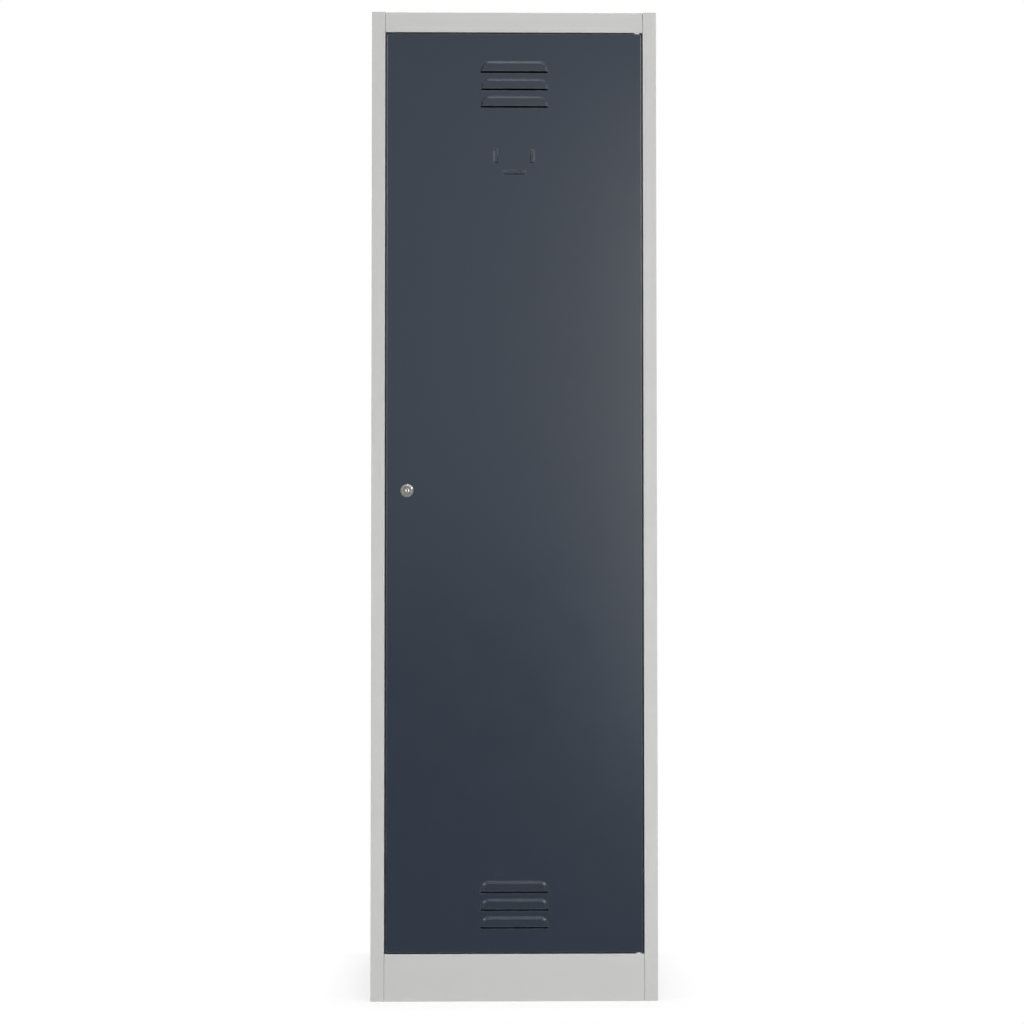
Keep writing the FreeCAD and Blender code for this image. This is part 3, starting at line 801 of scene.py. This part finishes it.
def weld_marks(name, places, normal, body, slot):
    """Row of spot-weld rings on a painted face that looks along a direction."""
    bm = bmesh.new()
    normal = Vector(normal)
    across = normal.orthogonal().normalized()
    along = normal.cross(across)
    for place in places:
        rows = []
        for share, height in WELD_SECTION:
            circle = arc((0, 0), WELD_RADIUS * share, 0, 360 - 360 / WELD_STEPS, WELD_STEPS - 1)
            level = Vector(place) + normal * (height * WELD_HEIGHT)
            rows.append(add_row(bm, [level + across * a + along * b for a, b in circle]))
        join_rows(bm, rows, closed=True)
        bm.faces.new(rows[-1])
    bmesh.ops.recalc_face_normals(bm, faces=bm.faces)
    make_piece(name, bm, body, FINISHES[slot])


def spaced(start, end, count):
    """Even positions from one to another."""
    return [start + (end - start) * i / (count - 1) for i in range(count)]


rear_places = [
    (side * (SIDE - REAR_FLANGE / 2), REAR, z)
    for side in (-1, 1)
    for z in spaced(REAR_WELD_INSET, BACK_HIGH.z - REAR_WELD_INSET, REAR_WELDS)
]
weld_marks("rear_flange_welds", rear_places, (0, 1, 0), "carcass", "carcass_grey")
back_places = [
    (x, BACK_HIGH.y, z)
    for z in (BACK_HIGH.z - BACK_WELD_DROP, FLOOR_TOP - BACK_WELD_DROP)
    for x in spaced(-BACK_WELD_REACH, BACK_WELD_REACH, BACK_WELDS)
]
weld_marks("back_panel_welds", back_places, (0, 1, 0), "carcass", "carcass_grey")
for side, inward in (("left", 1), ("right", -1)):
    rail_places = []
    for row in ("front", "rear"):
        low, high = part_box(f"{row}_{side}_shelf_rail")
        flange_x = (low.x if side == "left" else high.x) + inward * RAIL_SHEET
        for y in (low.y + RAIL_FLANGE / 2, high.y - RAIL_FLANGE / 2):
            levels = spaced(low.z + RAIL_WELD_INSET, high.z - RAIL_WELD_INSET, RAIL_WELDS)
            rail_places += [(flange_x, y, z) for z in levels]
    weld_marks(f"{side}_rail_welds", rail_places, (inward, 0, 0), "carcass", "carcass_grey")
stiffener_bottom = STIFFENER_LOW.z + STIFFENER_WELD_INSET
stiffener_top = STIFFENER_HIGH.z - STIFFENER_WELD_INSET
stiffener_places = [
    (x, STIFFENER_LOW.y + DOOR_SHEET, z)
    for x in (STIFFENER_LOW.x + STIFFENER_FLANGE / 2, STIFFENER_HIGH.x - STIFFENER_FLANGE / 2)
    for z in spaced(stiffener_bottom, stiffener_top, STIFFENER_WELDS)
]
weld_marks("stiffener_welds", stiffener_places, (0, 1, 0), "door", "door_anthracite")


# Stage: a pale floor that fades to white, a white background and soft light

def background_share(tree):
    """1 for rays that see the background directly, in a mirror or through glass."""
    path = shader_node(tree, "LightPath").outputs
    seen = math_node(tree, "MAXIMUM", path["Is Camera Ray"], path["Is Glossy Ray"])
    return math_node(tree, "MAXIMUM", seen, path["Is Transmission Ray"])


def floor_material():
    """Matt pale floor that takes the shadow, and turns into the white background further out."""
    material = bpy.data.materials.new("Floor")
    material.use_nodes = True
    tree = material.node_tree
    tree.nodes.clear()
    side = shader_node(tree, "VectorMath", {0: object_place(tree)}, operation="ABSOLUTE")
    footprint = (SIDE, REAR, 0.0)
    beyond = shader_node(tree, "VectorMath", {0: side.outputs[0], 1: footprint}, operation="SUBTRACT")
    outside = shader_node(tree, "VectorMath", {0: beyond.outputs[0], 1: (0, 0, 0)}, operation="MAXIMUM")
    distance = shader_node(tree, "VectorMath", {0: outside.outputs[0]}, operation="LENGTH")
    fade = remap(tree, distance.outputs["Value"], 0.0, FADE_END, FADE_LEAST, 1.0)
    share = math_node(tree, "MULTIPLY", fade, background_share(tree))
    matt = shader_node(tree, "BsdfDiffuse", {"Color": FLOOR_COLOUR})
    white = shader_node(tree, "Emission", {"Color": WHITE, "Strength": 1.0})
    inputs = {0: share, 1: matt.outputs["BSDF"], 2: white.outputs["Emission"]}
    mixed = shader_node(tree, "MixShader", inputs)
    shader_node(tree, "OutputMaterial", {"Surface": mixed.outputs["Shader"]})
    return material


def make_floor():
    """Wide plane on which the cabinet stands."""
    bm = bmesh.new()
    half = FLOOR_SIZE / 2
    bm.faces.new(add_row(bm, [(-half, -half, 0), (half, -half, 0), (half, half, 0), (-half, half, 0)]))
    mesh = bpy.data.meshes.new("Floor")
    bm.to_mesh(mesh)
    bm.free()
    mesh.materials.append(floor_material())
    floor = bpy.data.objects.new("Floor", mesh)
    bpy.context.scene.collection.objects.link(floor)


def make_world():
    """White background, and an even grey studio around the cabinet for its diffuse light."""
    world = bpy.data.worlds.new("Studio")
    world.use_nodes = True
    tree = world.node_tree
    tree.nodes.clear()
    room = shader_node(tree, "Background", {"Color": WHITE, "Strength": AMBIENT})
    white = shader_node(tree, "Background", {"Color": WHITE, "Strength": 1.0})
    inputs = {0: background_share(tree), 1: room.outputs["Background"], 2: white.outputs["Background"]}
    mixed = shader_node(tree, "MixShader", inputs)
    shader_node(tree, "OutputWorld", {"Surface": mixed.outputs["Shader"]})
    bpy.context.scene.world = world


def soft_box(name, place, target, width, height, brightness, spread=180):
    """Rectangular soft light aimed at a point. Its brightness is that of its face, where white is 1."""
    data = bpy.data.lights.new(name, "AREA")
    data.shape = "RECTANGLE"
    data.size = width
    data.size_y = height
    data.energy = brightness * math.pi * width * height
    data.spread = math.radians(spread)
    light = bpy.data.objects.new(name, data)
    light.location = place
    light.rotation_euler = (Vector(target) - Vector(place)).to_track_quat("-Z", "Y").to_euler()
    light.visible_camera = False
    bpy.context.scene.collection.objects.link(light)


make_floor()
make_world()

# Each lamp's place, target, width, height and brightness
soft_box("Front soft box", (0.05, -4.9, 2.0), (0.0, FRONT, 1.2), 2.2, 2.4, 1.4)
soft_box("Front right strip", (0.92, -4.2, 1.25), (0.0, FRONT, 1.0), 0.55, 2.3, 9.2)
soft_box("Overhead strip", (-0.02, -0.55, 3.3), (-0.02, -0.55, 0.0), 0.5, 0.6, 4.5)
soft_box("Front overhead strip", (0.12, -2.0, 3.3), (0.12, -2.0, 0.0), 0.5, 0.9, 5.0)
soft_box("Right overhead bar", (0.95, -0.6, 3.2), (0.95, -0.6, 0.0), 1.5, 0.36, 2.6)
soft_box("Overhead bar", (-0.2, -1.08, 3.2), (-0.2, -1.08, 0.0), 3.6, 0.28, 3.2)
soft_box("Upper right soft box", (2.0, -0.95, 2.35), (0.0, FRONT, 1.6), 0.4, 0.8, 5.0)
soft_box("Upper left soft box", (-2.0, -1.05, 1.95), (0.0, FRONT, 1.5), 0.35, 0.4, 3.5)
soft_box("Right soft box", (2.0, -1.4, 1.72), (0.0, FRONT, 0.6), 0.5, 0.5, 14.0)
soft_box("Left soft box", (-2.0, -1.45, 1.75), (0.0, FRONT, 0.6), 0.4, 0.5, 16.5)
soft_box("Right floor box", (1.8, -1.9, 2.6), (0.3, -1.2, 0.0), 1.0, 1.0, 1.4, spread=60)
soft_box("Left floor box", (-1.8, -1.9, 2.6), (-0.3, -1.2, 0.0), 1.0, 1.0, 0.9, spread=60)
soft_box("Rear soft box", (0.0, 2.6, 3.6), (0.0, REAR, 0.9), 2.4, 1.4, 8.5)


# Camera

camera_data = bpy.data.cameras.new("Camera")
camera_data.sensor_width = CAMERA_SENSOR
camera_data.lens = CAMERA_LENS
camera = bpy.data.objects.new("Camera", camera_data)
camera.location = (CAMERA_SIDE, FRONT - CAMERA_DISTANCE, CAMERA_HEIGHT)
camera.rotation_euler = [math.radians(a) for a in (90 + CAMERA_PITCH, CAMERA_ROLL, CAMERA_YAW)]
bpy.context.scene.collection.objects.link(camera)
bpy.context.scene.camera = camera
bpy.context.scene.view_settings.view_transform = "Standard"
